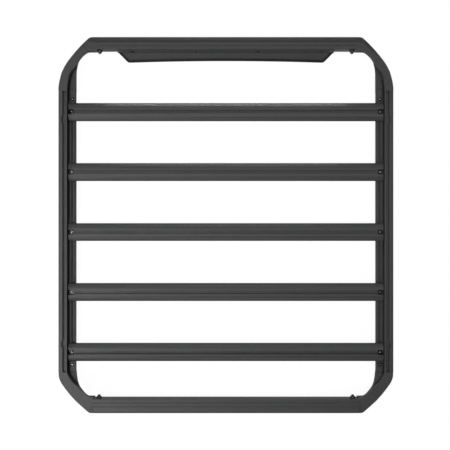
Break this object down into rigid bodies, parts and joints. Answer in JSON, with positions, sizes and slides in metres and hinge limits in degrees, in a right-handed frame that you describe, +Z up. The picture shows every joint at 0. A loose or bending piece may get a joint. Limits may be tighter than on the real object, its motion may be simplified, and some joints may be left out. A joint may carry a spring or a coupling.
{
  "type": "flat platform roof rack",
  "caption": "Flat platform roof rack: slotted side rails, cross slats and end bars joined by cast corners, with a wind deflector under the front bar.",
  "frame": {"origin": "centre of the footprint, at the level of the lowest edge of the deflector trim, which with the rear castings is what the rack rests on", "axes": "+Z up, +Y towards the front, where the wind deflector is, +X to the right seen from above with the front at the top"},
  "size_m": [1.33, 1.5, 0.09],
  "materials": {
    "powder_coat": "satin black powder coat on extruded aluminium",
    "casting_coat": "fine textured black powder coat on cast aluminium",
    "black_fastener": "black coated steel",
    "edge_rubber": "matte rubber"
  },
  "bodies": {
    "root": {"side_rail_left": "powder_coat", "side_rail_right": "powder_coat", "front_bar": "powder_coat", "rear_bar": "powder_coat", "corner_front_left": "casting_coat", "corner_front_right": "casting_coat", "corner_rear_left": "casting_coat", "corner_rear_right": "casting_coat", "slat_1": "powder_coat", "slat_2": "powder_coat", "slat_3": "powder_coat", "slat_4": "powder_coat", "slat_5": "powder_coat", "wind_deflector": "powder_coat", "deflector_trim": "edge_rubber", "deflector_bolts": "black_fastener", "slat_bolts_1": "black_fastener", "slat_bolts_2": "black_fastener", "slat_bolts_3": "black_fastener", "slat_bolts_4": "black_fastener", "slat_bolts_5": "black_fastener", "corner_bolts_front_left": "black_fastener", "corner_bolts_front_right": "black_fastener", "corner_bolts_rear_left": "black_fastener", "corner_bolts_rear_right": "black_fastener", "channel_nuts_left": "black_fastener", "channel_nuts_right": "black_fastener"}
  },
  "joints": []
}
